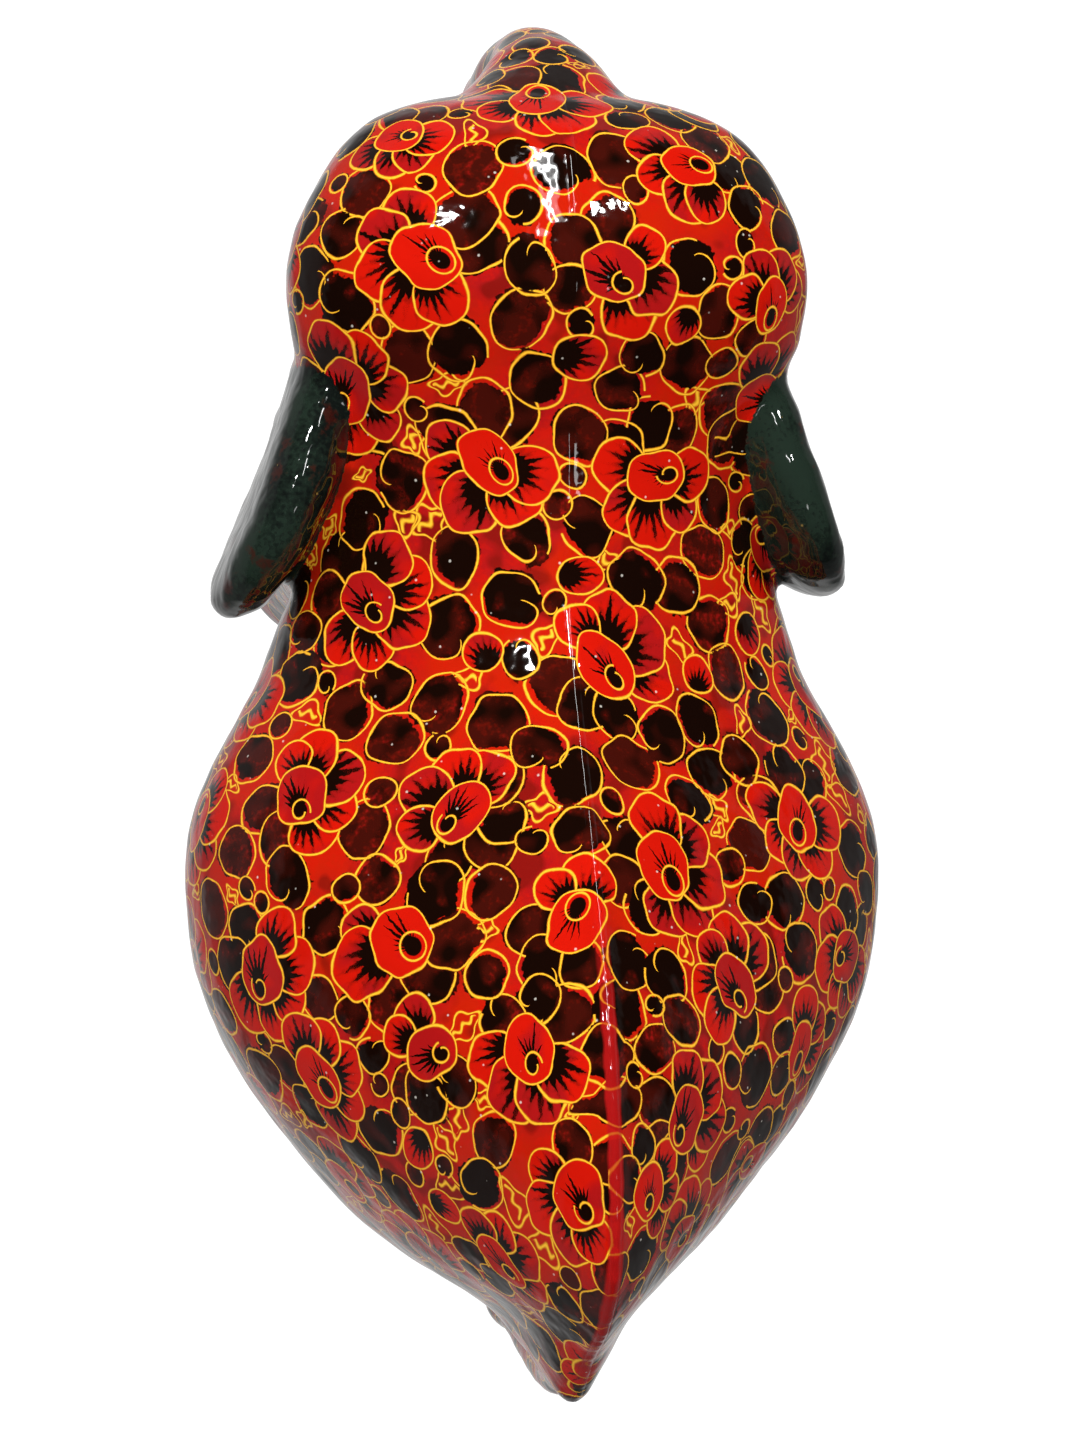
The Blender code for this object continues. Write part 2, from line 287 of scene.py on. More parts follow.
def body_rows(y):
    """Half width, widest level, top, underside and ridge of the body at each place y.

    Ahead of BROW_START all of them close on the brow's level along a blunt superellipse.
    """
    half, level, top, under, ridge = through(BODY_STATIONS, y / LENGTH).T
    half, level, top, under = half * WIDTH, level * HEIGHT, top * HEIGHT, under * HEIGHT
    into_brow = np.clip((BROW_START - y) / (BROW_START - BROW_FRONT), 0, 1)
    shrink = (1 - into_brow**BROW_BLUNTNESS) ** (1 / BROW_BLUNTNESS)
    level = BROW_LEVEL + (level - BROW_LEVEL) * shrink
    top = BROW_LEVEL + (top - BROW_LEVEL) * shrink
    under = BROW_LEVEL + (under - BROW_LEVEL) * shrink
    return half * shrink, level, top, under, ridge


def body_form():
    """The head, neck, back, belly and rump in one loft along Y.

    Across a section, x is the half width times the cosine of the turn, raised above the widest
    level to the ridge's power, and z is the sine of the turn times the height above or below.
    """
    turn = np.linspace(0, 1, 26)[1:-1] * math.pi / 2
    front = BROW_START - (BROW_START - BROW_FRONT) * np.sin(turn[::-1])
    y = np.concatenate([front, np.linspace(BROW_START, BODY_STATIONS[-1][0] * LENGTH, 150)])
    half, level, top, under, ridge = body_rows(y)
    angle = np.arange(BODY_POINTS) / BODY_POINTS * 2 * math.pi
    across, up = np.cos(angle), np.sin(angle)
    power = 1 + (ridge[:, None] - 1) * soft_step(up * 1.25)
    x = half[:, None] * np.sign(across) * np.abs(across) ** power
    above, below = (top - level)[:, None], (level - under)[:, None]
    z = level[:, None] + up * (below + (above - below) * soft_step((up + 1) / 2))
    rings = np.stack([x, np.broadcast_to(y[:, None], x.shape), z], 2)[:, ::-1]
    return loft(rings, (0, BROW_FRONT, BROW_LEVEL), (0, KEEL_END, KEEL_LEVEL))


def tube(centres, radii, end_reach):
    """A tapered tube along centres, its rings square to the path, with rounded ends."""
    along = np.gradient(centres, axis=0)
    along /= np.linalg.norm(along, axis=1)[:, None]
    side = np.array([1.0, 0, 0]) - along * along[:, :1]
    side /= np.linalg.norm(side, axis=1)[:, None]
    over = np.cross(side, along)
    angle = np.arange(LIMB_POINTS) / LIMB_POINTS * 2 * math.pi
    circle = (
        side[:, None] * np.cos(angle)[None, :, None] + over[:, None] * np.sin(angle)[None, :, None]
    )
    rings = centres[:, None] + radii[:, None, None] * circle
    rounding = np.array([0.25, 0.5, 0.7, 0.85, 0.95])
    thin = np.sqrt(1 - rounding**2)[:, None, None]
    start_reach = along[0] * radii[0] * end_reach
    last_reach = along[-1] * radii[-1] * end_reach
    start = centres[0] - start_reach * rounding[:, None, None] + thin * (rings[0] - centres[0])
    end = centres[-1] + last_reach * rounding[:, None, None] + thin * (rings[-1] - centres[-1])
    rings = np.concatenate([start[::-1], rings, end])
    return loft(rings, centres[0] - start_reach, centres[-1] + last_reach)


def middle_line(rows):
    """Places in the middle plane from shares of length and height."""
    return np.stack([rows[:, 0] * 0, rows[:, 0] * LENGTH, rows[:, 1] * HEIGHT], 1)


def trunk_form():
    """The trunk, a tube along its stations that bends down and leans a little to -X."""
    rows = spread_evenly(TRUNK_STATIONS, 90)
    radii = TRUNK_TIP_RADIUS + (TRUNK_ROOT_RADIUS - TRUNK_TIP_RADIUS) * rows[:, 2]
    centres = middle_line(rows)
    centres[:, 0] = -TRUNK_LEAN * soft_step((LEAN_FROM - rows[:, 0]) / LEAN_OVER)
    return tube(centres, radii, 0.5)


def tail_form():
    """The tail, a thin tube along its stations with a tuft near its end."""
    rows = spread_evenly(TAIL_STATIONS, 80)
    radii = TAIL_END_RADIUS + (TAIL_ROOT_RADIUS - TAIL_END_RADIUS) * rows[:, 2]
    return tube(middle_line(rows), radii, 0.9)


def lip_form():
    """The lower lip, a short tapered form under the trunk's root."""
    rows = spread_evenly(LIP_STATIONS, 30)
    return tube(middle_line(rows), rows[:, 2] * WIDTH, 0.9)


def leg_form(side, y, depth, backwards):
    """A column from inside the body to below the sole, wider and deeper at the thigh.

    The radius is the leg's, plus the foot's flare, which fades upwards as a bell curve does.
    """
    z = np.linspace(-BELOW_SOLE, LEG_TOP, 70)
    share = np.clip(z / LEG_TOP, 0, 1)
    swell = soft_step((share - THIGH_START) / (1 - THIGH_START)) ** 1.2
    radius = LEG_RADIUS + (FOOT_RADIUS - LEG_RADIUS) * np.exp(-((share / FOOT_FADE) ** 2))
    into_top = (share - LEG_ROUNDING_START) / (1 - LEG_ROUNDING_START)
    round_over = np.sqrt(1 - soft_step(into_top) * LEG_ROUNDING)
    wide = radius * (1 + THIGH_WIDTH * swell) * round_over
    deep = radius * (1 + depth * swell) * round_over
    centre_y = y + backwards * swell * LENGTH
    centre_x = side * (LEG_SPREAD - THIGH_INWARD * WIDTH * swell)
    angle = np.arange(LIMB_POINTS) / LIMB_POINTS * 2 * math.pi
    x = centre_x[:, None] + wide[:, None] * np.cos(angle)
    ys = centre_y[:, None] + deep[:, None] * np.sin(angle)
    rings = np.stack([x, ys, np.broadcast_to(z[:, None], x.shape)], 2)
    return loft(
        rings,
        (centre_x[0], centre_y[0], -BELOW_SOLE),
        (centre_x[-1], centre_y[-1], LEG_TOP + 0.4 * LEG_RADIUS),
    )


def ear_span(side):
    """Where the middle of the ear on one side lies along Y, and how far it reaches from there.

    Both ears start at the same place in front, and the one on the -X side is the shorter.
    """
    reach = EAR_REACH * (1 - SHORTER_EAR * (side < 0))
    return EAR_Y + reach - EAR_REACH, reach


def ear_middle(y, z, side):
    """How far from the middle plane the ear's own middle surface lies at a place."""
    middle_y, reach = ear_span(side)
    back = (y - middle_y) / reach
    down = (EAR_LEVEL - z) / EAR_HEIGHT
    closer = CLOSER_EAR * (side < 0)
    flare = (EAR_FLARE - closer / 2) * back + EAR_CURL_BEHIND * back**2
    tuck = EAR_TWIST * back * down - EAR_LEAN * down - EAR_CURL_BELOW * down**2
    return EAR_OUT + WIDTH * (flare + tuck - closer)


def ear_lobes(angle):
    """The ear's outline: how much of its reach it has in each direction."""
    return 1 + EAR_LOBE * np.cos(3 * (angle - EAR_LOBE_TURN))


def ear_form(side):
    """A blunt-edged flap of three rounded lobes, flared outwards behind.

    From the ear's middle out, its thickness falls as a superellipse's does, first over the
    inner face and then back over the outer one.
    """
    angle = np.arange(EAR_POINTS) / EAR_POINTS * 2 * math.pi
    out = np.linspace(0.08, 1, 17)[:-1] ** 0.75
    bulge = (1 - out**EAR_BLUNTNESS) ** 0.5
    spread = np.concatenate([out, [1.0], out[::-1]])[:, None] * ear_lobes(angle)
    puff = np.concatenate([-bulge, [0.0], bulge[::-1]]) * EAR_THICKNESS / 2
    middle_y, reach = ear_span(side)
    y = middle_y + reach * spread * np.cos(angle)
    z = EAR_LEVEL + EAR_HEIGHT * spread * np.sin(angle)
    x = ear_middle(y, z, side) + puff[:, None]
    rings = np.stack([side * x, y, z], 2)[:, ::side]
    middle = ear_middle(middle_y, EAR_LEVEL, side)
    inner, outer = middle - EAR_THICKNESS / 2, middle + EAR_THICKNESS / 2
    return loft(rings, (side * inner, middle_y, EAR_LEVEL), (side * outer, middle_y, EAR_LEVEL))


def ear_cover(points):
    """How far each point lies on an ear and off the body: 0 on the body, 1 on the ear.

    Both ears are measured at once, as distances in millimetres from the body's section at the
    same place, and only inside the ear's own outline and thickness. In front, where the ear
    runs into the neck, its inner face is covered less far.
    """
    x, y, z = np.abs(points[:, 0]), points[:, 1], points[:, 2]
    half, level, top, under, ridge = body_rows(np.clip(y, BROW_FRONT + MM, KEEL_END - 2 * MM))
    rise = np.where(z > level, top - level, level - under)
    up = np.clip(np.abs(z - level) / rise, 0, 1)
    flank = half * np.sqrt(1 - up**2)
    off_body = (x - flank) / MM
    side = np.sign(points[:, 0])
    middle_y, reach = ear_span(side)
    back = (y - middle_y) / reach
    down = (z - EAR_LEVEL) / EAR_HEIGHT
    outline = np.hypot(back, down) / ear_lobes(np.arctan2(down, back))
    through_ear = (x - ear_middle(y, z, side)) / EAR_THICKNESS
    inner_edge = -0.66 + 0.25 * soft_step((0.3 - back) / 0.9)
    on_ear = soft_step((1.12 - outline) / 0.08) * soft_step((through_ear - inner_edge) / 0.12)
    return on_ear * soft_step((off_body + 0.6) / 2.4)


def as_object(name, forms):
    """One mesh object that holds every form, each still closed on its own."""
    points, faces, count = [], [], 0
    for form_points, form_faces in forms:
        points += form_points.tolist()
        faces += [[corner + count for corner in face] for face in form_faces]
        count += len(form_points)
    mesh = bpy.data.meshes.new(name)
    mesh.from_pydata(points, [], faces)
    thing = bpy.data.objects.new(name, mesh)
    bpy.context.scene.collection.objects.link(thing)
    return thing


def fused_skin(forms):
    """The forms fused on a fine grid into one smoothed skin, with its legs cut off level."""
    rough = as_object("rough_forms", forms)
    fuse = rough.modifiers.new("fuse_the_forms", "REMESH")
    fuse.mode = "VOXEL"
    fuse.voxel_size = SKIN_GRID
    smooth = rough.modifiers.new("smooth_the_skin", "SMOOTH")
    smooth.factor = 0.5
    smooth.iterations = SKIN_SMOOTHING
    ready = rough.evaluated_get(bpy.context.evaluated_depsgraph_get())
    skin = bmesh.new()
    skin.from_mesh(ready.to_mesh())
    everything = skin.verts[:] + skin.edges[:] + skin.faces[:]
    cut = bmesh.ops.bisect_plane(
        skin, geom=everything, plane_co=(0, 0, 0), plane_no=(0, 0, -1), clear_outer=True
    )
    rims = [part for part in cut["geom_cut"] if isinstance(part, bmesh.types.BMEdge)]
    soles = bmesh.ops.holes_fill(skin, edges=rims)["faces"]
    bmesh.ops.triangulate(skin, faces=soles)
    bmesh.ops.recalc_face_normals(skin, faces=skin.faces)
    mesh = bpy.data.meshes.new("elephant_skin")
    skin.to_mesh(mesh)
    skin.free()
    bpy.data.objects.remove(rough)
    elephant = bpy.data.objects.new("lacquered_elephant", mesh)
    bpy.context.scene.collection.objects.link(elephant)
    return elephant


def read(mesh, group, name, width):
    """One numpy row per item of a mesh's vertices, faces or corners."""
    items = getattr(mesh, group)
    values = np.empty(len(items) * width, np.float32)
    items.foreach_get(name, values)
    return values.reshape(-1, width).astype(float)


def waves(points, length, seed, count=14):
    """Smooth unevenness between about -1 and 1: a sum of sine waves in seeded directions."""
    chance = np.random.default_rng(seed)
    headings = chance.normal(size=(count, 3))
    headings /= np.linalg.norm(headings, axis=1)[:, None]
    headings *= 2 * math.pi / length / chance.uniform(0.7, 1.5, (count, 1))
    starts = chance.uniform(0, 2 * math.pi, count)
    return np.sin(points @ headings.T + starts).sum(axis=1) / math.sqrt(count)


def uneven_by(kinds, points):
    """The sum of several kinds of waves at the points, in millimetres."""
    return sum(height * waves(points, length * MM, seed) for height, length, seed in kinds)


def along(places, start, rise, end, fall):
    """1 over a stretch in millimetres, rising smoothly from its start and falling to its end."""
    return soft_step((places - start * MM) / (rise * MM)) * soft_step(
        (end * MM - places) / (fall * MM)
    )


def shape_by_hand(mesh):
    """Adds what the moulding and the hand leave, then fits the skin into the solid's box.

    Each point moves outwards by the slow unevenness, which is gone at the soles, and by the
    seam, whose section across X is a bell curve.
    """
    points = read(mesh, "vertices", "co", 3)
    outward = read(mesh, "vertices", "normal", 3)
    x, y, z = points.T
    ears = ear_cover(points)
    off_ground = soft_step(z / (3 * MM))
    slow, lumps = uneven_by(SKIN_WAVES, points), uneven_by(EAR_WAVES, points)
    uneven = (slow * (1 - ears) + lumps * ears) * off_ground
    faces_up = outward[:, 2] > 0.2
    crest = np.exp(-((x / (SEAM_HALF_WIDTH * MM)) ** 2)) * faces_up * (z > SEAM_LEVEL * MM)
    seam = BACK_SEAM_HEIGHT * along(y, *BACK_SEAM) + HEAD_SEAM_HEIGHT * along(y, *HEAD_SEAM)
    seam *= 1 + SEAM_UNEVENNESS * waves(points, SEAM_WAVE_LENGTH * MM, SEAM_SEED)
    points += outward * ((uneven + seam * crest) * MM)[:, None]
    points[:, 1] += MOVED_BACK
    low, high = points.min(axis=0), points.max(axis=0)
    cad_low, cad_high = np.array(cad_box[0]), np.array(cad_box[1])
    points = cad_low + (points - low) / (high - low) * (cad_high - cad_low)
    mesh.vertices.foreach_set("co", points.astype(np.float32).ravel())
    mesh.update()
    cover = mesh.attributes.new("ear", "FLOAT", "POINT")
    cover.data.foreach_set("value", ears.astype(np.float32))


forms = [body_form(), trunk_form(), lip_form(), tail_form()]
for side in (1, -1):
    forms.append(leg_form(side, FRONT_LEG_Y, FRONT_THIGH_DEPTH, FRONT_THIGH_BACK))
    forms.append(leg_form(side, HIND_LEG_Y, HIND_THIGH_DEPTH, HIND_THIGH_BACK))
    forms.append(ear_form(side))
elephant = fused_skin(forms)
shape_by_hand(elephant.data)
elephant.data.shade_smooth()

# The camera looks straight down, tilted a little towards +X and turned a little in the
# picture. PIXELS_AT_ONE is the size in pixels of one metre at a metre from it.

PICTURE_WIDTH = 1086
PICTURE_HEIGHT = 1448
TILT = math.radians(9.5)
TURN = math.radians(0.571)
AIM = Vector((-0.00095, 0.00057 + MOVED_BACK, 0.052))
DISTANCE = 0.45
PIXELS_AT_ONE = 4221.3
SENSOR_HEIGHT = 36

back = Vector((math.sin(TILT), 0, math.cos(TILT)))
level_right = Vector((-math.cos(TILT), 0, math.sin(TILT)))
level_up = Vector((0, -1, 0))
right = level_right * math.cos(TURN) - level_up * math.sin(TURN)
up = level_up * math.cos(TURN) + level_right * math.sin(TURN)
eye = AIM + back * DISTANCE

lens = bpy.data.cameras.new("camera")
lens.sensor_fit = "VERTICAL"
lens.sensor_height = SENSOR_HEIGHT
lens.lens = PIXELS_AT_ONE * SENSOR_HEIGHT / PICTURE_HEIGHT
lens.clip_start = 0.01
camera = bpy.data.objects.new("camera", lens)
camera.matrix_world = Matrix.LocRotScale(eye, Matrix((right, up, back)).transposed(), None)
bpy.context.scene.collection.objects.link(camera)
bpy.context.scene.camera = camera

# The painting: where each mark of the brush lies. A corner of a face holds as many marks as
# there are layers, and FAR_OFF stands there for a mark that is not there. A mark touches the
# faces within RING_REACH of its radius and ROOM_AROUND in millimetres.

DAB, PETAL, CUP, SCRIBBLE = 1, 2, 3, 4
LAID_IN_ORDER = (SCRIBBLE, DAB, PETAL, CUP)
LAYERS = 6
FAR_OFF = 99
RING_REACH = 1.45
ROOM_AROUND = 0.8
MOST_WRAP = 1.6
PAINTING_SEED = 41


class Painting:
    """The marks on the skin, with the order in which they are laid, and the room they take."""

    def __init__(self, mesh):
        self.mesh = mesh
        self.chance = np.random.default_rng(PAINTING_SEED)
        self.points = read(mesh, "vertices", "co", 3)
        self.centres = read(mesh, "polygons", "center", 3)
        self.normals = read(mesh, "polygons", "normal", 3)
        self.areas = read(mesh, "polygons", "area", 1)[:, 0]
        self.starts = read(mesh, "polygons", "loop_start", 1)[:, 0].astype(int)
        self.sides = read(mesh, "polygons", "loop_total", 1)[:, 0].astype(int)
        self.corners = read(mesh, "loops", "vertex_index", 1)[:, 0].astype(int)
        ears = np.empty(len(mesh.vertices), np.float32)
        mesh.attributes["ear"].data.foreach_get("value", ears)
        self.ears = ears[self.corners[self.starts]]
        self.tree = BVHTree.FromPolygons(
            self.points.tolist(), [tuple(face.vertices) for face in mesh.polygons]
        )
        self.marks = []
        self.taken = np.zeros((0, 4))

    def seen_at(self, x, y):
        """The place on the skin behind a point of the picture, and the way out of the skin."""
        across = (x - PICTURE_WIDTH / 2) / PIXELS_AT_ONE
        down = (y - PICTURE_HEIGHT / 2) / PIXELS_AT_ONE
        ray = (right * across - up * down - back).normalized()
        place, normal, face, away = self.tree.ray_cast(eye, ray)
        return (np.array(place), np.array(normal)) if place else (None, None)

    def frame_at(self, normal, heading):
        """Two directions along the skin, the first as near the heading as it can be."""
        first = heading - normal * (heading @ normal)
        first /= np.linalg.norm(first)
        return first, np.cross(normal, first)

    def add(self, kind, place, normal, first, radius, stretch=1.0):
        """Lays a mark at a place, its long side along first. radius is in millimetres.

        The last digits of the radius are the mark's own, and the material varies it by them.
        """
        radius = round(radius, 1) + self.chance.uniform(0.0, 0.09)
        self.marks.append((kind, place, normal, first, radius, stretch))
        self.taken = np.vstack([self.taken, [*place, radius * MM]])

    def room_at(self, place):
        """The widest radius in millimetres that fits at a place without touching a mark."""
        if not len(self.taken):
            return FAR_OFF
        away = np.linalg.norm(self.taken[:, :3] - place, axis=1) - self.taken[:, 3]
        return away.min() / MM

    def near(self, place, normal, reach):
        """Faces within reach of a place that look roughly the same way as it does."""
        away = self.centres - place
        close = np.einsum("ij,ij->i", away, away) < reach**2
        faces = np.nonzero(close)[0]
        return faces[self.normals[faces] @ normal > -0.05]

    def lay(self):
        """Gives every face the marks that touch it, the one laid last in the first layer.

        Each corner keeps how far it lies from the mark's middle, along the mark and across it.
        Where the skin bends away both grow towards the straight distance, so the mark wraps.
        """
        corner_count = len(self.corners)
        layers = np.zeros((LAYERS, corner_count, 3), np.float32)
        layers[:, :, :2] = FAR_OFF
        used = np.zeros(len(self.centres), int)
        for kind, place, normal, first, radius, stretch in reversed(self.marks):
            second = np.cross(normal, first)
            faces = self.near(place, normal, (radius * RING_REACH + ROOM_AROUND) * MM)
            faces = faces[used[faces] < LAYERS]
            for side in range(self.sides.max()):
                some = faces[self.sides[faces] > side]
                slots = self.starts[some] + side
                away = self.points[self.corners[slots]] - place
                flat = np.stack([away @ first, away @ second], 1)
                reach = np.linalg.norm(away, axis=1)
                longer = reach / np.maximum(np.linalg.norm(flat, axis=1), 1e-7)
                flat *= np.clip(longer, 1, MOST_WRAP)[:, None] / MM
                layers[used[some], slots, 0] = flat[:, 0]
                layers[used[some], slots, 1] = flat[:, 1] * stretch
                layers[used[some], slots, 2] = kind * 10 + radius
            used[faces] += 1
        for number, layer in enumerate(layers):
            marks = self.mesh.attributes.new(f"mark_{number}", "FLOAT_VECTOR", "CORNER")
            marks.data.foreach_set("vector", layer.ravel())


# A flower: the angle between its petals and how far the first leaf is turned beyond them, in
# degrees, then as shares of the flower's size how far each kind lies out and its own radius.
# A stretch is how many times longer than wide a mark is.
PETAL_ANGLE = 46
LEAF_GAP = 20
LEAF_OUT, LEAF_SIZE, LEAF_STRETCH = 1.16, 0.68, 1.1
PETAL_OUT, PETAL_SIZE = 1.02, 0.63
CUP_SIZE = 0.80


def paint_flower(painting, place, normal, first, size, petals=5, start=0.0, leaves=3):
    """A flower: leaves behind, a half ring of round petals, and the cup with its eye in front.

    The cup is an oval along first. The petals stand around it at even angles from start, and
    the leaves lie further out on the side that the petals leave free.
    """
    first, second = painting.frame_at(normal, first)
    chance = painting.chance
    kinds = []
    for number in range(leaves):
        turned = math.radians(petals * PETAL_ANGLE + LEAF_GAP + PETAL_ANGLE * number)
        angle = start + turned + chance.uniform(-0.15, 0.15)
        radius = LEAF_SIZE * size * chance.uniform(0.85, 1.12)
        kinds.append((DAB, angle, LEAF_OUT * size, radius, LEAF_STRETCH))
    for number in range(petals):
        angle = start + math.radians(PETAL_ANGLE * number) + chance.uniform(-0.12, 0.12)
        radius = PETAL_SIZE * size * chance.uniform(0.80, 1.20)
        kinds.append((PETAL, angle, PETAL_OUT * size, radius, 1.0))
    for kind, angle, away, radius, stretch in kinds:
        toward = first * math.cos(angle) + second * math.sin(angle)
        spot, way_out, face, gap = painting.tree.find_nearest(
            Vector((place + toward * away * MM).tolist())
        )
        spot, way_out = np.array(spot), np.array(way_out)
        heading = painting.frame_at(way_out, toward)[0]
        painting.add(kind, spot, way_out, heading, radius, stretch)
    painting.add(CUP, place, normal, first, size * CUP_SIZE, chance.uniform(1.12, 1.42))


# Flowers as they are seen from above, one row each: the place in the picture, the size of the
# cup in millimetres, the way the cup points and the way the first petal lies, in degrees
# clockwise from the right of the picture, and the numbers of petals and leaves.
FLOWERS_ABOVE = (
    (425, 255, 4.6, 215, 250, 5, 2),
    (614, 272, 4.2, 205, 60, 3, 3),
    (690, 165, 4.0, 170, 190, 4, 2),
    (772, 306, 3.6, 270, 330, 4, 1),
    (400, 135, 3.4, 200, 160, 4, 2),
    (488, 462, 4.4, 235, 200, 5, 3),
    (656, 476, 4.4, 180, 190, 5, 3),
    (368, 600, 4.6, 215, 120, 5, 3),
    (606, 666, 4.8, 235, 10, 4, 3),
    (460, 812, 4.4, 300, 300, 4, 4),
    (302, 795, 4.2, 240, 60, 5, 2),
    (664, 866, 4.6, 260, 100, 5, 3),
    (797, 818, 4.2, 300, 200, 5, 3),
    (576, 922, 4.2, 110, 280, 2, 3),
    (400, 940, 4.8, 215, 200, 2, 4),
    (262, 972, 4.4, 260, 120, 5, 2),
    (736, 984, 4.2, 215, 300, 5, 3),
    (530, 1050, 4.2, 250, 160, 4, 3),
    (318, 1078, 4.2, 235, 60, 5, 2),
    (430, 1052, 3.8, 160, 250, 2, 3),
    (800, 1050, 3.8, 300, 60, 4, 2),
    (580, 1196, 4.2, 240, 200, 4, 3),
    (686, 1120, 4.2, 300, 60, 4, 3),
    (650, 1190, 3.6, 290, 60, 3, 2),
    (500, 1262, 4.0, 230, 60, 5, 2),
    (344, 1180, 3.8, 230, 60, 4, 2),
)


# The flower on each temple: where it lies, its size in millimetres, how many petals it has,
# where the first one lies in radians, and the way its cup points
EYE_PLACE = (0.30 * WIDTH, -0.395 * LENGTH, 0.565 * HEIGHT)
EYE_SIZE = 3.6
EYE_PETALS = 3
EYE_START = 0.6
EYE_POINTS_TO = (0.0, -1.0, -0.3)

# Random places for the rest: how many there are, and how many of them are tried for flowers,
# which need a wide part of the skin and this much room, in millimetres. A scribble needs a
# part of the skin that is wider than for a dab, and may be stretched more.
PLACES = 30000
FLOWER_TRIES = 5000
FLOWER_SLIMNESS = 4
FLOWER_ROOM = 6.5
FLOWER_SIZES = (3.7, 4.6)
SCRIBBLE_NEEDS = 1.5
SCRIBBLE_STRETCH = 1.9
MARK_STRETCH = 1.25

# Rounds of single marks, the largest first: the kind, its widest and its narrowest radius in
# millimetres with the number of steps between them, the tries at each step, and the share of
# its radius that has to be free around it.
ROUNDS = (
    (PETAL, 2.6, 2.1, 3, 60, 0.92),
    (DAB, 3.2, 2.5, 6, 2600, 0.62),
    (SCRIBBLE, 2.2, 1.7, 4, 1500, 0.74),
    (DAB, 2.5, 1.2, 9, 3400, 0.66),
    (SCRIBBLE, 1.6, 1.0, 4, 4200, 0.66),
)


def paint_elephant(mesh):
    """Lays flowers, dabs and scribbles over the whole skin, the largest first."""
    painting = Painting(mesh)
    chance = painting.chance
    for x, y, size, points_to, first_petal, petals, leaves in FLOWERS_ABOVE:
        place, normal = painting.seen_at(x, y)
        if place is None:
            continue
        angle = math.radians(points_to)
        heading = np.array(right * math.cos(angle) - up * math.sin(angle))
        start = math.radians(points_to - first_petal)
        paint_flower(painting, place, normal, heading, size, petals, start, leaves)

    for side in (-1, 1):
        temple = Vector((side * EYE_PLACE[0], *EYE_PLACE[1:]))
        place, normal, face, gap = painting.tree.find_nearest(temple)
        place, normal, ahead = np.array(place), np.array(normal), np.array(EYE_POINTS_TO)
        paint_flower(painting, place, normal, ahead, EYE_SIZE, EYE_PETALS, EYE_START * side, 0)

    weights = painting.areas * (painting.ears < 0.4) * (painting.centres[:, 2] > 1.5 * MM)
    order = chance.choice(len(weights), PLACES, p=weights / weights.sum())
    slim = slimness(painting.centres)
    for face in order[:FLOWER_TRIES]:
        place, normal = painting.centres[face], painting.normals[face]
        if slim[face] > FLOWER_SLIMNESS and painting.room_at(place) > FLOWER_ROOM:
            heading = painting.frame_at(normal, chance.normal(size=3))[0]
            size, start = chance.uniform(*FLOWER_SIZES), chance.uniform(0, 6.28)
            paint_flower(painting, place, normal, heading, size, 5, start, 3)
    for kind, most, least, steps, tries, closeness in ROUNDS:
        for radius in np.linspace(most, least, steps):
            for face in chance.choice(order, tries):
                place, normal = painting.centres[face], painting.normals[face]
                needed = radius * (SCRIBBLE_NEEDS if kind == SCRIBBLE else 1.0)
                if slim[face] < needed or painting.room_at(place) < radius * closeness:
                    continue
                heading = painting.frame_at(normal, chance.normal(size=3))[0]
                size = radius * chance.uniform(0.96, 1.04)
                most_stretch = SCRIBBLE_STRETCH if kind == SCRIBBLE else MARK_STRETCH
                stretch = chance.uniform(1.0, most_stretch)
                painting.add(kind, place, normal, heading, size, stretch)
    painting.marks.sort(key=lambda mark: LAID_IN_ORDER.index(mark[0]))
    painting.lay()


def slimness(places):
    """The widest mark in millimetres that suits each place: small on tail, trunk and legs."""
    y, z = places[:, 1] / MM, places[:, 2] / MM
    tail = (y > 66) & (z < 66)
    trunk = y < -64
    legs = z < 30
    return np.select([tail, trunk, legs], [1.35, 2.3, 2.7], 9.0)


paint_elephant(elephant.data)

# The materials


def plug(tree, value, socket):
    """Links a wire or another node's socket to a socket, or sets the socket to a value."""
    if isinstance(value, Wire):
        value = value.socket
    if isinstance(value, bpy.types.NodeSocket):
        tree.links.new(value, socket)
    elif isinstance(value, tuple):
        socket.default_value = (*value, 1)
    else:
        socket.default_value = value


def plug_all(tree, node, values):
    """Plugs values into the sockets of a node that their names stand for."""
    for name, value in values.items():
        plug(tree, value, node.inputs[name])


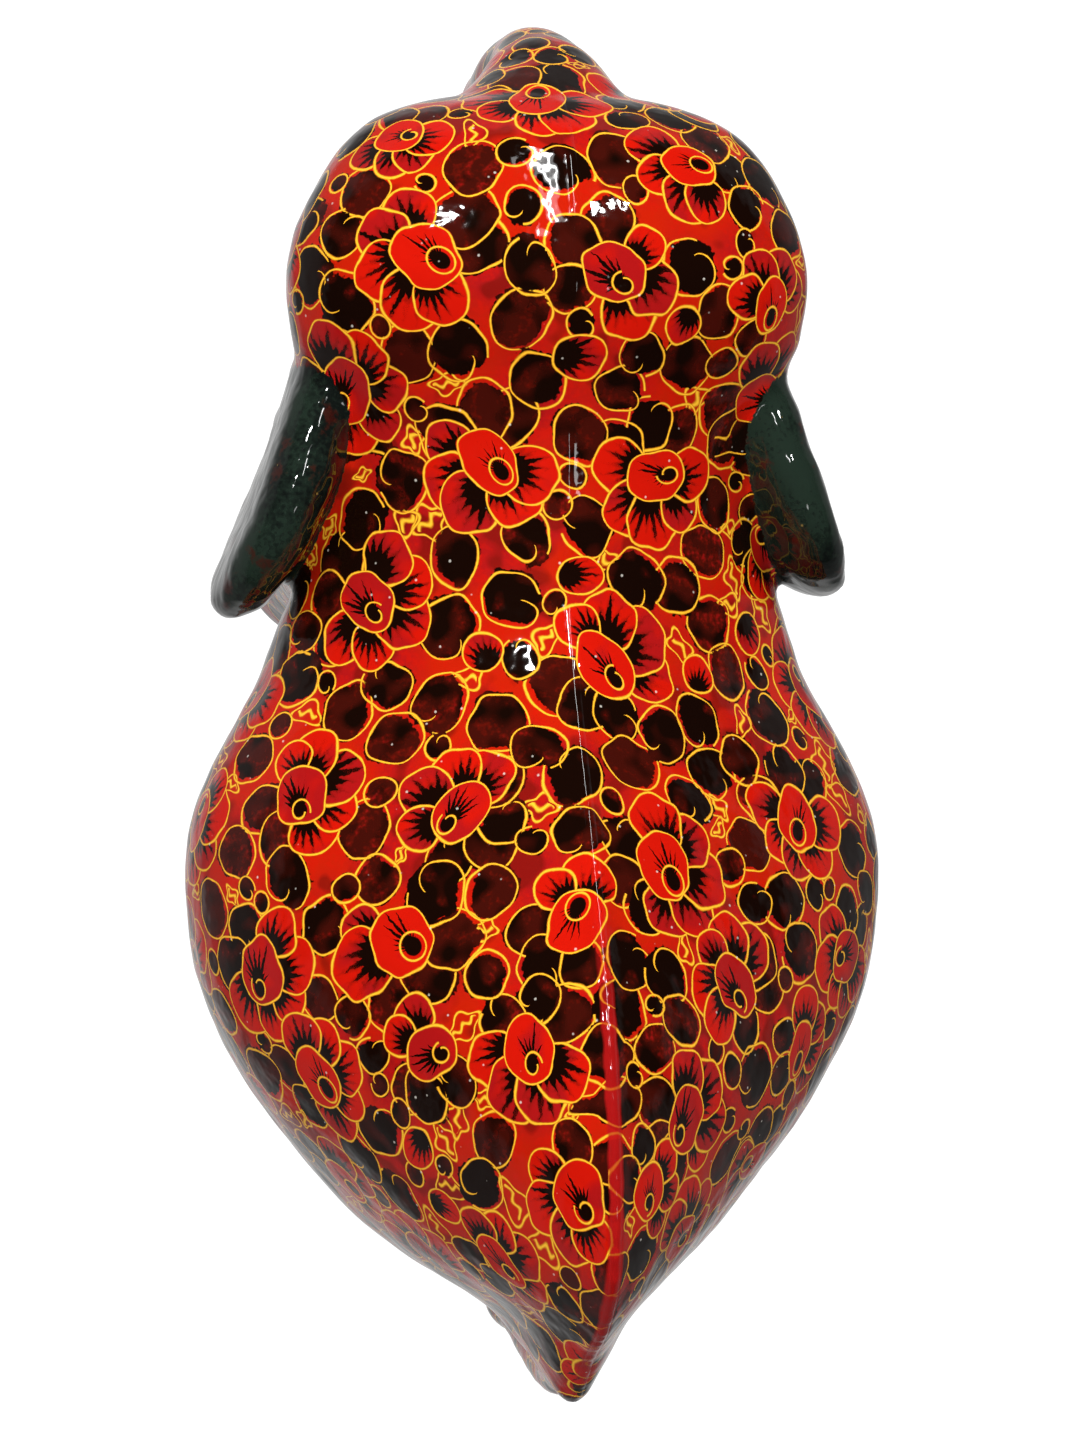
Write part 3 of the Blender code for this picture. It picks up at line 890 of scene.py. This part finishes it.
class Wire:
    """A socket used as a number: each operation on wires adds one Math node.

    whole and rest are a number's parts before and after its point, least and most the lesser
    and the greater of two numbers, and greater is 1 above a limit and 0 below it.
    """

    def __init__(self, tree, socket):
        self.tree = tree
        self.socket = socket

    def made(self, operation, *others):
        """A new wire out of one Math node that takes this wire and the others."""
        node = self.tree.nodes.new("ShaderNodeMath")
        node.operation = operation
        for number, value in enumerate((self, *others)):
            plug(self.tree, value, node.inputs[number])
        return Wire(self.tree, node.outputs[0])

    __add__ = __radd__ = partialmethod(made, "ADD")
    __sub__ = partialmethod(made, "SUBTRACT")
    __mul__ = __rmul__ = partialmethod(made, "MULTIPLY")
    __truediv__ = partialmethod(made, "DIVIDE")
    power = partialmethod(made, "POWER")
    root = partialmethod(made, "SQRT")
    size = partialmethod(made, "ABSOLUTE")
    whole = partialmethod(made, "FLOOR")
    rest = partialmethod(made, "FRACT")
    sine = partialmethod(made, "SINE")
    cosine = partialmethod(made, "COSINE")
    least = partialmethod(made, "MINIMUM")
    most = partialmethod(made, "MAXIMUM")
    greater = partialmethod(made, "GREATER_THAN")

    def __rsub__(self, other):
        return (self * -1.0) + other

    def same(self, number):
        """1 where the wire is near a whole number and 0 elsewhere."""
        return self.made("COMPARE", number, 0.5)

    def angle_with(self, across):
        """The angle whose sine runs along this wire and whose cosine runs along across."""
        return self.made("ARCTAN2", across)

    def ramp(self, low, high):
        """0 up to low, 1 from high on, straight between; low may be above high."""
        node = self.tree.nodes.new("ShaderNodeMapRange")
        plug_all(self.tree, node, {"Value": self, "From Min": low, "From Max": high})
        return Wire(self.tree, node.outputs["Result"])


def noise(tree, vector, scale, detail=0.0, roughness=0.5):
    """Smooth noise between 0 and 1 at a vector."""
    node = tree.nodes.new("ShaderNodeTexNoise")
    kind = {"Scale": scale, "Detail": detail, "Roughness": roughness}
    plug_all(tree, node, {"Vector": vector, **kind})
    return Wire(tree, node.outputs["Fac"])


def blend(tree, share, first, second):
    """The first colour where share is 0 and the second where it is 1."""
    node = tree.nodes.new("ShaderNodeMix")
    node.data_type = "RGBA"
    for number, value in ((0, share), (6, first), (7, second)):
        plug(tree, value, node.inputs[number])
    return node.outputs[2]


def coordinates(tree, vector):
    """The three numbers of a vector as wires."""
    parts = tree.nodes.new("ShaderNodeSeparateXYZ")
    tree.links.new(vector, parts.inputs[0])
    return [Wire(tree, parts.outputs[number]) for number in range(3)]


# The paints, as linear red, green and blue
BLACK = (0.0065, 0.0018, 0.0008)
MAROON = (0.048, 0.0040, 0.0020)
BRIGHT_RED = (0.57, 0.0075, 0.0020)
CRIMSON = (0.38, 0.0070, 0.0070)
ORANGE_RED = (0.50, 0.0125, 0.0020)
WINE = (0.125, 0.0055, 0.0022)
GOLD = (1.0, 0.56, 0.032)
OLD_GOLD = (0.58, 0.18, 0.008)
# White is for the specks on the body, which are dust and painted glints
WHITE = (0.80, 0.76, 0.68)
DARK_GREEN = (0.013, 0.023, 0.016)
GREEN_BLACK = (0.005, 0.007, 0.006)
GOLD_DUST = (0.30, 0.20, 0.05)

# The brush, in millimetres: the width of half a gold line, and how much two noises vary it
BRUSH = 0.132
BRUSH_FINE = 0.11
BRUSH_WOBBLE = 0.10

# Shares of a mark's radius: how much further a petal's tuft reaches, how far a dab's ring lies
# off its middle, how much the ring wobbles, and how far its two ends stay apart
PETAL_TUFT = 0.48
RING_SHIFT = 0.15
RING_WOBBLE = 0.36
RING_OPENING = 0.55

# Full turns in one radian, and teeth of a tuft in one radian
TURNS_PER_RADIAN = 0.15915
TEETH = 3.9


def brush_mark():
    """A node group that draws one mark of the brush over the colour beneath it.

    Mark holds the distance from the middle of the mark in millimetres, along and across it,
    and ten times its kind plus its radius. Wobble and Fine are noises that the whole skin
    shares. All shapes are distances in millimetres from an edge, so that every gold line has
    the width of the same brush.
    """
    tree = bpy.data.node_groups.new("brush_mark", "ShaderNodeTree")
    face = tree.interface
    face.new_socket("Mark", in_out="INPUT", socket_type="NodeSocketVector")
    face.new_socket("Colour", in_out="INPUT", socket_type="NodeSocketColor")
    for name in ("Wobble", "Fine"):
        face.new_socket(name, in_out="INPUT", socket_type="NodeSocketFloat")
    face.new_socket("Colour", in_out="OUTPUT", socket_type="NodeSocketColor")
    given = tree.nodes.new("NodeGroupInput")
    result = tree.nodes.new("NodeGroupOutput")
    u, v, code = coordinates(tree, given.outputs["Mark"])
    wobble, fine = (Wire(tree, given.outputs[name]) for name in ("Wobble", "Fine"))

    kind = (code * 0.1).whole()
    radius = code - kind * 10.0
    seed = (radius * 127.1).rest()
    other_seed = (radius * 311.7).rest()
    is_dark = kind.same(DAB)
    is_petal = kind.same(PETAL)
    is_cup = kind.same(CUP)
    is_scribble = kind.same(SCRIBBLE)

    # Reach from the middle; a scribble's is drawn out into corners
    spoke = v.angle_with(u)
    corner_count = seed.greater(0.5) + 3.0
    corners = (spoke * corner_count + seed * 6.28).cosine() * is_scribble * 0.22 + 1.0
    away = ((u * u + v * v).root() + wobble * radius * 0.5) * corners

    # The touch of the brush: a little ragged, and smaller than its ring where it is dark
    ragged = fine * is_dark * 0.8
    touch = (away + ragged - radius * (1.0 - is_dark * 0.03)).ramp(0.05, -0.05)

    # The tuft: pointed strokes out of a root, near the inner end of a petal or a cup
    root_u = u + radius * (is_petal * 0.52 + 0.44)
    root_v = v - (seed - 0.5) * radius * 0.55
    root_away = (root_u * root_u + root_v * root_v).root() / radius
    fan = root_v.angle_with(root_u)
    teeth = fan * TEETH + other_seed * 9.0 + fine * 0.5
    tooth = teeth.whole()
    tip = 1.0 - ((teeth - tooth) * 2.0 - 1.0).size()
    uneven = ((tooth * 12.99 + seed * 50.0).sine() * 437.58).rest()
    middle = 1.0 - fan * fan * 0.5
    reach = (tip.power(1.3) * (uneven * 0.85 + 0.15) + 0.30 + seed * 0.3) * middle
    tuft = ((root_away - reach - is_petal * PETAL_TUFT) * radius).ramp(0.04, -0.04)

    # The eye of a cup: a ring or a spiral around the root
    twist = (fan * TURNS_PER_RADIAN + other_seed + 0.5).rest()
    spiral = 0.42 - twist * 0.22 * seed.greater(0.35)
    eye_line = ((root_away - spiral) * radius).size()
    iris = is_cup * ((root_away - 0.28) * radius).ramp(0.05, -0.05)

    # The gold ring: close around petals and cups, loose and often left open around dabs
    turn = other_seed * 6.2832
    ring_u = u - turn.cosine() * radius * is_dark * RING_SHIFT
    ring_v = v - turn.sine() * radius * is_dark * RING_SHIFT
    ring_away = (ring_u * ring_u + ring_v * ring_v).root() + wobble * radius * RING_WOBBLE
    stroke = (ring_v.angle_with(ring_u) * TURNS_PER_RADIAN + seed).rest()
    left_open = is_dark * other_seed.greater(0.45)
    end = stroke.ramp(0.82, 1.0)
    opened = end * end * left_open * RING_OPENING
    ring_line = (ring_away * corners - radius * (1.0 - opened)).size()
    gap = left_open * stroke.ramp(0.02, 0.0)
    edge_line = (ring_line + gap).least(eye_line + (1.0 - is_cup))

    # The scribble: a wavy line that ends at its edge
    curve = (u * (2.6 + other_seed * 2.0) + seed * 20.0).sine() * 0.42
    past_end = (away - radius * 0.74).most(0.0)
    scrawl = (v - curve * (1.0 + wobble)).size() * 0.45 + past_end * 4.0
    edge_line = edge_line.least(scrawl + (1.0 - is_scribble)) * (1.0 - is_scribble * 0.22)
    brush = BRUSH + fine * BRUSH_FINE + wobble * BRUSH_WOBBLE
    gilt = (edge_line - brush).ramp(0.045, -0.045)
    shine = (edge_line - brush * 0.45).ramp(0.08, -0.04)

    # The colours: reds that darken towards the tuft, streaks in the dabs, and gold on top
    streak = (v * 2.2 + wobble * 6.0).sine() * 0.22 + fine * 1.4 + 0.3 + seed * 0.5
    reds = blend(tree, (seed * 0.9 + wobble).ramp(0.45, 0.75), BRIGHT_RED, CRIMSON)
    shade = (reach + is_petal * PETAL_TUFT + 0.35 - root_away + fine * 0.6).ramp(0.0, 0.5)
    reds = blend(tree, shade * is_petal * 0.75, reds, WINE)
    light = blend(tree, is_dark, reds, MAROON)
    light = blend(tree, is_dark * streak.ramp(0.62, 0.95) * 0.7, light, WINE)
    light = blend(tree, is_dark * streak.ramp(0.95, 1.25) * 0.6, light, CRIMSON)
    dark_dab = is_dark * (wobble * 1.5 + other_seed * 0.7).ramp(0.02, 0.42)
    dark = dark_dab + (1.0 - is_dark) * tuft.most(iris)
    painted = blend(tree, dark, light, BLACK)
    cover = touch * (1.0 - is_scribble)
    painted = blend(tree, cover, given.outputs["Colour"], painted)
    painted = blend(tree, gilt, painted, blend(tree, shine, OLD_GOLD, GOLD))
    tree.links.new(painted, result.inputs["Colour"])
    return tree


# The crest along the rump, in metres: half its width in paint, with a soft edge, where it
# starts along Y, and the levels between which it appears
CREST_EDGES = (0.00085, 0.00060)
CREST_START = (0.020, 0.032)
CREST_LEVELS = (0.076, 0.080)

# Half the width of the fine seam that only the coat shows, and the levels where it appears
SEAM_LINE = 0.00055
SEAM_LINE_LEVELS = (0.066, 0.072)

# The height up to which the soles' maroon reaches, with a soft edge
SOLE_PAINT = (0.0014, 0.0008)

# Noises, in cells per metre
PATCH_SCALE = 95.0
WOBBLE_SCALE = 400.0
GRAIN_SCALE = 520.0
FLECK_SCALE = 600.0
FINE_SCALE = 1900.0


def attribute(tree, name):
    """The outputs of the node that reads one attribute of the mesh."""
    node = tree.nodes.new("ShaderNodeAttribute")
    node.attribute_name = name
    return node.outputs


def painted_lacquer():
    """Ground, marks and ears in colour, all under one clear coat.

    The marks are laid from the last layer to the first, each over the colour beneath it.
    """
    material = bpy.data.materials.new("painted_lacquer")
    material.use_nodes = True
    tree = material.node_tree
    shader = tree.nodes["Principled BSDF"]
    where = tree.nodes.new("ShaderNodeTexCoord").outputs["Object"]
    x, y, z = coordinates(tree, where)

    wobble = noise(tree, where, WOBBLE_SCALE) - 0.5
    fine = noise(tree, where, FINE_SCALE, 1.0) - 0.5
    patches = noise(tree, where, PATCH_SCALE, 1.0)
    ground = blend(tree, patches.ramp(0.44, 0.60), ORANGE_RED, CRIMSON)
    ground = blend(tree, (wobble + fine).ramp(0.05, 0.35) * 0.5, ground, BRIGHT_RED)
    ground = blend(tree, (patches - wobble - 0.5).ramp(0.06, 0.20) * 0.6, ground, WINE)
    colour = ground
    group = brush_mark()
    for number in reversed(range(LAYERS)):
        layer = tree.nodes.new("ShaderNodeGroup")
        layer.node_tree = group
        mark = attribute(tree, f"mark_{number}")["Vector"]
        given = {"Mark": mark, "Colour": colour, "Wobble": wobble, "Fine": fine}
        plug_all(tree, layer, given)
        colour = layer.outputs["Colour"]
    on_crest = (x.size() + wobble * 0.0004).ramp(*CREST_EDGES)
    along_crest = y.ramp(*CREST_START) * z.ramp(*CREST_LEVELS)
    colour = blend(tree, on_crest * along_crest * 0.85, colour, CRIMSON)
    colour = blend(tree, (z + wobble * 0.0015).ramp(*SOLE_PAINT), colour, MAROON)

    ear = Wire(tree, attribute(tree, "ear")["Fac"])
    cover = (ear + fine * 0.5 + wobble * 0.3).ramp(0.42, 0.52)
    green = blend(tree, (patches + fine * 0.5).ramp(0.40, 0.62), DARK_GREEN, GREEN_BLACK)
    green = blend(tree, (wobble - fine * 0.4).ramp(0.20, 0.30) * 0.6, green, MAROON)
    flecks = tree.nodes.new("ShaderNodeTexVoronoi")
    plug_all(tree, flecks, {"Scale": FLECK_SCALE, "Vector": where})
    speck = Wire(tree, flecks.outputs["Distance"]).ramp(0.105, 0.055)
    drawn = Wire(tree, flecks.outputs["Color"]).greater(0.55)
    dust_and_glints = speck * drawn
    green = blend(tree, dust_and_glints * 0.7, green, GOLD_DUST)
    colour = blend(tree, cover, colour, green)
    # White specks on the body: dust in the coat, and painted glints of light caught by its small
    # pits
    colour = blend(tree, dust_and_glints * (1.0 - cover) * 0.55, colour, WHITE)

    off_seam = x / SEAM_LINE
    seam = (1.0 - (off_seam * off_seam).least(1.0)) * z.ramp(*SEAM_LINE_LEVELS)
    grain = noise(tree, where, GRAIN_SCALE, 1.0) * 2.0 + seam * 3.0
    bump = tree.nodes.new("ShaderNodeBump")
    plug_all(tree, bump, {"Strength": 0.5, "Distance": 0.00010, "Height": grain})

    coat = {"Coat Weight": 1.0, "Coat Roughness": 0.05, "Coat IOR": 1.5}
    coat["Coat Normal"] = bump.outputs["Normal"]
    paint = {"Base Color": colour, "Roughness": 0.5, "Specular IOR Level": 0.0}
    plug_all(tree, shader, {**paint, **coat})
    return material


elephant.data.materials.clear()
elephant.data.materials.append(painted_lacquer())
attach(elephant, "root")
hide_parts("elephant")

# The floor and the light


# The floor, in metres: half its side, and the half sizes of the oval around the figure that
# gloss mirrors brightly
FLOOR_REACH = 1.6
MIRRORED_HALF_WIDTH = 0.060
MIRRORED_HALF_LENGTH = 0.105

# Lamps: where each hangs, what it looks at, its width and height, and its power in watts
WINDOWS = (
    ("window_left", (0.52, -0.50, 0.84), (0.012, -0.048, 0.078), 0.105, 0.075, 3.3),
    ("window_right", (-0.40, -0.62, 0.81), (-0.003, -0.048, 0.080), 0.085, 0.065, 2.4),
    ("long_window", (-0.02, -0.72, 0.72), (0, 0, 0.08), 0.035, 0.80, 3.2),
    ("window_glow", (-0.02, -0.71, 0.73), (0, 0, 0.08), 0.11, 0.80, 1.1),
    ("skylight", (-0.26, 0.19, 1.02), (0, -0.023, 0.075), 0.16, 0.10, 0.35),
)
CEILING = ("ceiling", (0.34, -0.04, 1.15), (0, 0, 0.05), 0.8, 0.8, 7.8)


def ray_kinds(tree):
    """1 on the first wire for what the eye sees, and 1 on the second for what gloss mirrors."""
    kinds = tree.nodes.new("ShaderNodeLightPath").outputs
    return Wire(tree, kinds["Is Camera Ray"]), Wire(tree, kinds["Is Glossy Ray"])


def pale_floor():
    """A wide pale floor under the soles, bright to the eye and mostly dark in gloss."""
    mesh = bpy.data.meshes.new("floor")
    reach = FLOOR_REACH
    corners = [(-reach, -reach, 0), (reach, -reach, 0), (reach, reach, 0), (-reach, reach, 0)]
    mesh.from_pydata(corners, [], [(0, 1, 2, 3)])
    floor = bpy.data.objects.new("floor", mesh)
    bpy.context.scene.collection.objects.link(floor)
    material = bpy.data.materials.new("pale_floor")
    material.use_nodes = True
    tree = material.node_tree
    shader = tree.nodes["Principled BSDF"]
    seen, glossy = ray_kinds(tree)
    x, y, z = coordinates(tree, tree.nodes.new("ShaderNodeTexCoord").outputs["Object"])
    across, ahead = x / MIRRORED_HALF_WIDTH, y / MIRRORED_HALF_LENGTH
    oval = (across * across + ahead * ahead).root().ramp(1.5, 0.9)
    strength = seen * 1.05 + glossy * (oval * 0.48 + 0.03)
    matt = {"Base Color": (0.10, 0.10, 0.10), "Roughness": 0.9, "Specular IOR Level": 0.0}
    glow = {"Emission Color": (1, 1, 1), "Emission Strength": strength}
    plug_all(tree, shader, {**matt, **glow})
    mesh.materials.append(material)


def lamp(name, place, target, width, height, power, glossy=True):
    """A flat rectangular light that looks at a target, and that gloss may mirror or not."""
    light = bpy.data.lights.new(name, "AREA")
    light.shape = "RECTANGLE"
    light.size = width
    light.size_y = height
    light.energy = power
    thing = bpy.data.objects.new(name, light)
    thing.location = place
    direction = Vector(target) - Vector(place)
    thing.rotation_euler = direction.to_track_quat("-Z", "Y").to_euler()
    thing.visible_glossy = glossy
    bpy.context.scene.collection.objects.link(thing)


def soft_surroundings():
    """A white studio for the eye and for soft light, and a dark one, but for its rim, in gloss."""
    world = bpy.data.worlds.new("studio")
    world.use_nodes = True
    tree = world.node_tree
    x, y, height = coordinates(tree, tree.nodes.new("ShaderNodeTexCoord").outputs["Generated"])
    seen, glossy = ray_kinds(tree)
    soft = height.ramp(1.0, -0.2) * 0.45 + 0.10
    mirrored = height.ramp(0.06, -0.10) * 0.17 + 0.008
    strength = soft * (1.0 - glossy) + mirrored * glossy + seen
    plug_all(tree, tree.nodes["Background"], {"Strength": strength, "Color": (1, 1, 1)})
    bpy.context.scene.world = world


pale_floor()
soft_surroundings()
lamp(*CEILING, glossy=False)
for window in WINDOWS:
    lamp(*window)
picture = bpy.context.scene
picture.view_settings.view_transform = "Standard"
picture.cycles.max_bounces = 4
picture.cycles.diffuse_bounces = 2
picture.cycles.glossy_bounces = 2
picture.cycles.caustics_reflective = False
picture.cycles.caustics_refractive = False
